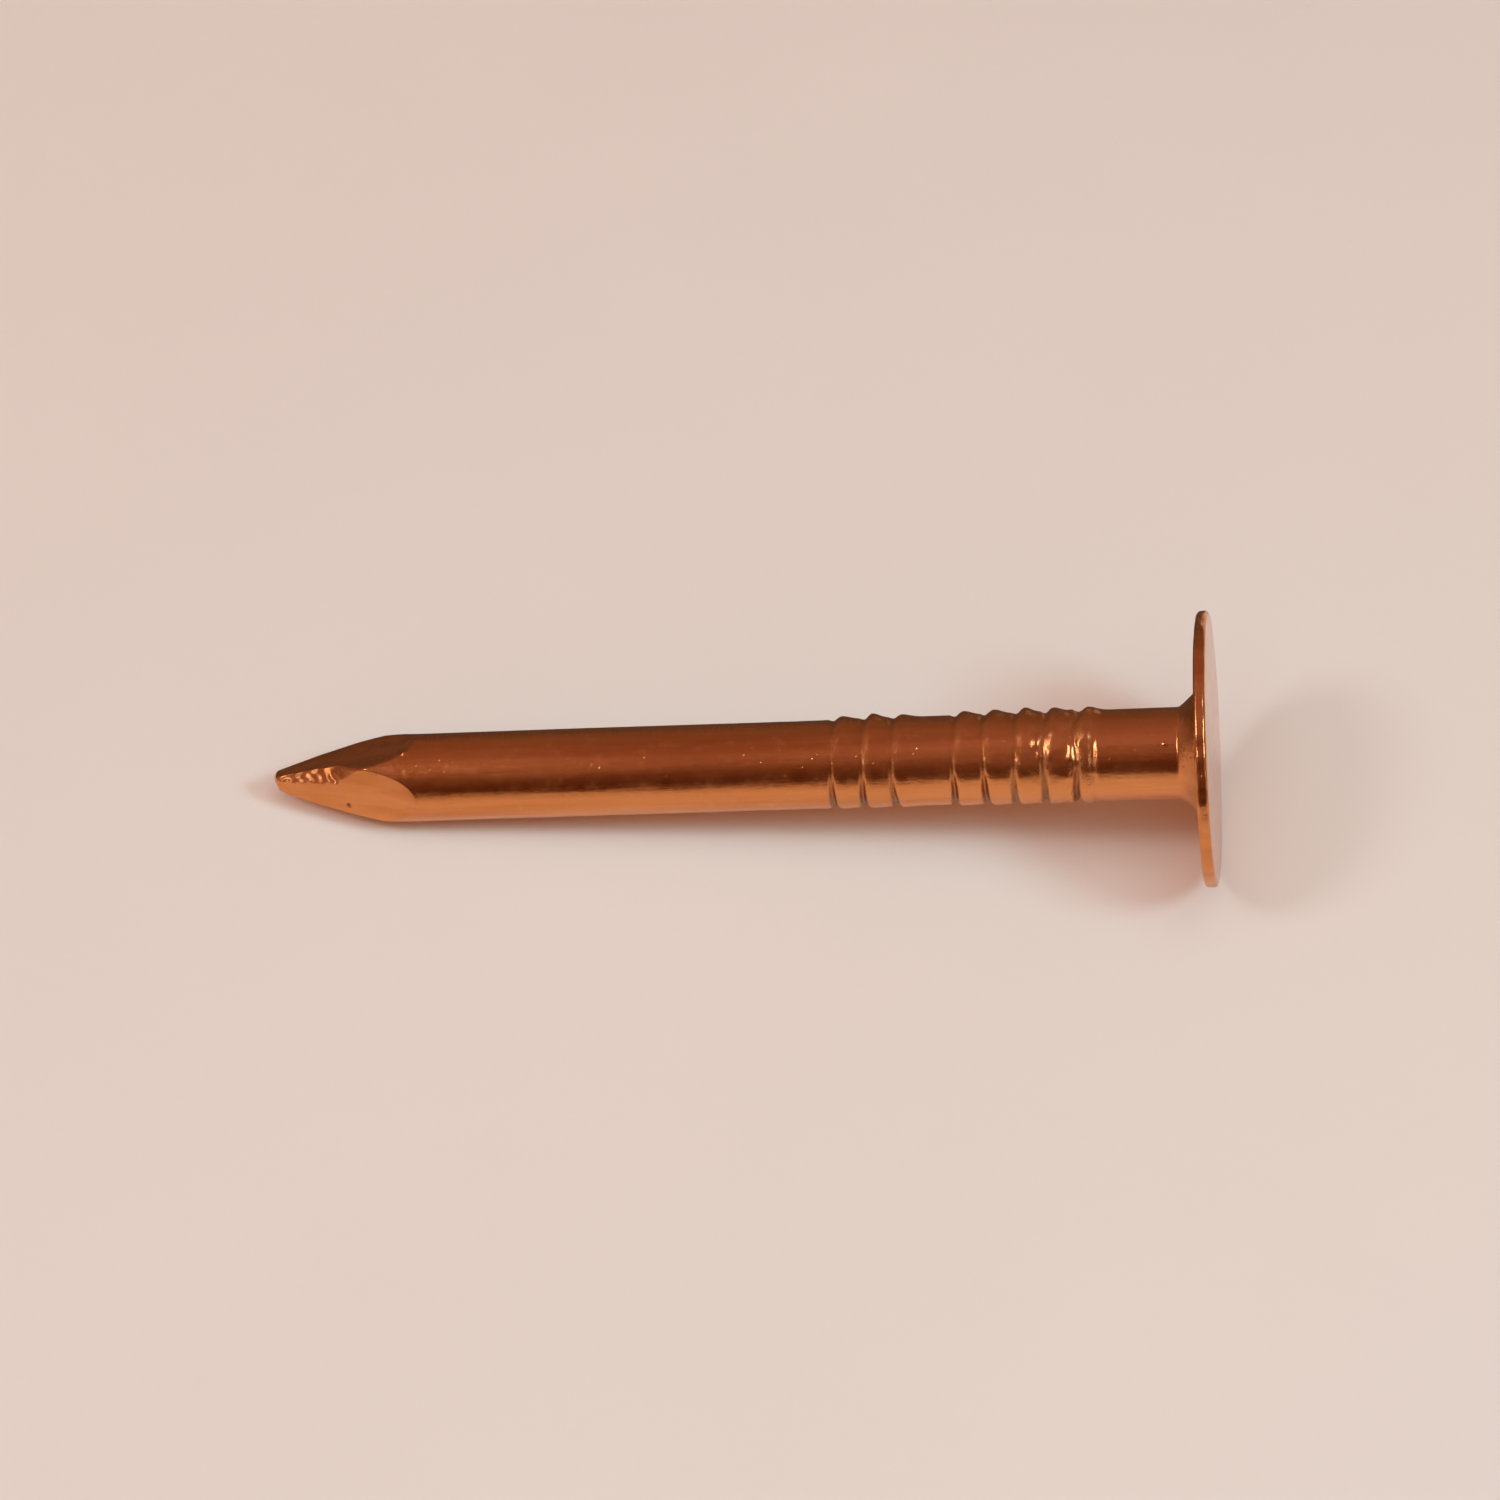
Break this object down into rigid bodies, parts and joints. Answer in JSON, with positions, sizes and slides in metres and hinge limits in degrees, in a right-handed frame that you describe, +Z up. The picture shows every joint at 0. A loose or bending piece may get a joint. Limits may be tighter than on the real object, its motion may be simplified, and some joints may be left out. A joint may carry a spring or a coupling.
{
  "type": "nail",
  "caption": "Short copper clout nail with a wide thin flat head, a round shank with gripping rings near the head, and a blunt four-sided point.",
  "frame": {"origin": "on the shank's axis, in the plane of the bearing face under the head", "axes": "+X along the nail's axis from the point to the head, so the shank runs towards -X; +Z is up as the nail lies; the seam of the gripping dies leans 23 degrees from +Z towards -Y"},
  "size_m": [0.0322, 0.0094, 0.0094],
  "materials": {
    "copper": "satin drawn-wire copper, slightly tarnished"
  },
  "bodies": {
    "root": {"nail": "copper"}
  },
  "joints": []
}
